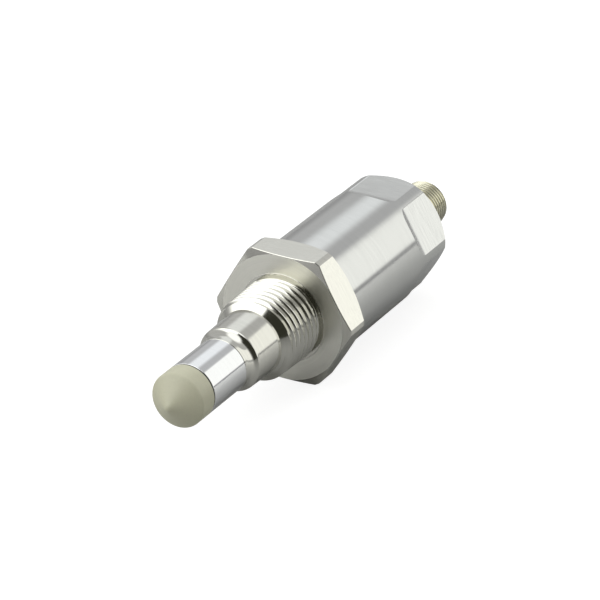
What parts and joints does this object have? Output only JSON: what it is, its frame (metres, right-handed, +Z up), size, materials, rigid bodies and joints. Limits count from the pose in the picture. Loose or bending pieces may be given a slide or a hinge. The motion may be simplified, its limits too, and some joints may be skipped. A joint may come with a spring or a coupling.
{
  "type": "capacitive level sensor",
  "caption": "Screw-in capacitive level sensor: plastic-tipped probe, tapered pipe thread, hexagon, round steel housing with wrench flats and a round male plug.",
  "frame": {"origin": "on the sensor's axis, in the front face of the large hexagon", "axes": "+X along the axis towards the plug, -X towards the sensing tip, +Z up, square to one flat of the hexagon"},
  "size_m": [0.125, 0.0362, 0.032],
  "materials": {
    "tip_plastic": "turned, matte",
    "seal_rubber": "matte",
    "polished_steel": "polished",
    "turned_steel": "turned, satin",
    "brushed_steel": "brushed along the flats, satin on the cylinder",
    "plated_brass": "nickel plated",
    "plug_plastic": "moulded",
    "gilt_contact": "gilt",
    "electrode_metal": "turned",
    "insulator_plastic": "turned",
    "lead_insulation": "extruded",
    "casting_resin": "cast",
    "carrier_plastic": "moulded",
    "board_laminate": "solder resist",
    "chip_plastic": "moulded",
    "capacitor_ceramic": "fired"
  },
  "bodies": {
    "root": {"sensor_tip": "tip_plastic", "tip_seal": "seal_rubber", "probe_tube": "polished_steel", "process_fitting": "turned_steel", "housing": "brushed_steel", "housing_seal": "seal_rubber", "connector_shell": "plated_brass", "connector_seal": "seal_rubber", "connector_insert": "plug_plastic", "contact_pin_1": "gilt_contact", "contact_pin_2": "gilt_contact", "contact_pin_3": "gilt_contact", "contact_pin_4": "gilt_contact", "measuring_electrode": "electrode_metal", "electrode_insulator": "insulator_plastic", "guard_electrode": "electrode_metal", "guard_insulator": "insulator_plastic", "electrode_lead": "lead_insulation", "process_barrier": "casting_resin", "board_carrier": "carrier_plastic", "main_board": "board_laminate", "connector_board": "board_laminate", "board_header": "chip_plastic", "microcontroller": "chip_plastic", "measuring_chip": "chip_plastic", "output_driver": "chip_plastic", "voltage_regulator": "chip_plastic", "filter_capacitor_1": "capacitor_ceramic", "filter_capacitor_2": "capacitor_ceramic", "filter_capacitor_3": "capacitor_ceramic", "filter_capacitor_4": "capacitor_ceramic"}
  },
  "joints": []
}
